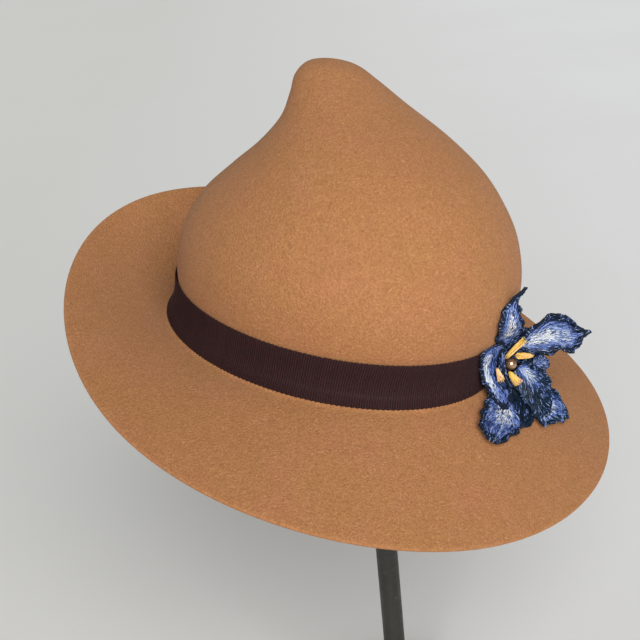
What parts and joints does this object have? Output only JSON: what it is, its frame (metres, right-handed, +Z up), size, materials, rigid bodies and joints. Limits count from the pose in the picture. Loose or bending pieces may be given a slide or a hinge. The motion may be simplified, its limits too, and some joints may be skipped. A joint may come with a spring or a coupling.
{
  "type": "felt hat on a stand",
  "caption": "Blocked felt hat with a peaked crown, upswept back brim, ribbed ribbon band and embroidered flower, held up by a plain round rod on a flat foot.",
  "frame": {"origin": "centre of the underside of the stand's foot", "axes": "+Z up along the stand's rod, -Y the way the hat's front looks, +X the wearer's left"},
  "size_m": [0.2986, 0.3047, 0.4383],
  "materials": {
    "felt": "soft tan fur felt",
    "ribbon": "dark brown ribbed ribbon",
    "cap": "dark matt paint",
    "stand_metal": "dark grey satin paint",
    "petal": "satin stitching in blues and white",
    "lip": "satin stitching in navy",
    "beard": "satin stitching in yellow and peach",
    "bead": "bronze pearl"
  },
  "bodies": {
    "root": {"felt_body": "felt", "ribbon": "ribbon", "stand_cap": "cap", "stand_rod": "stand_metal", "stand_foot": "stand_metal", "flower_hub": "stand_metal", "bead": "bead", "beard_top": "beard", "beard_right": "beard", "beard_left": "beard", "beard_low": "beard", "petal_left": "petal", "petal_left_fold": "petal", "lip": "lip", "lip_lobe": "lip", "lip_crest": "lip", "petal_right": "petal", "petal_top": "petal", "petal_low_left": "petal", "petal_low_right": "petal"}
  },
  "joints": []
}
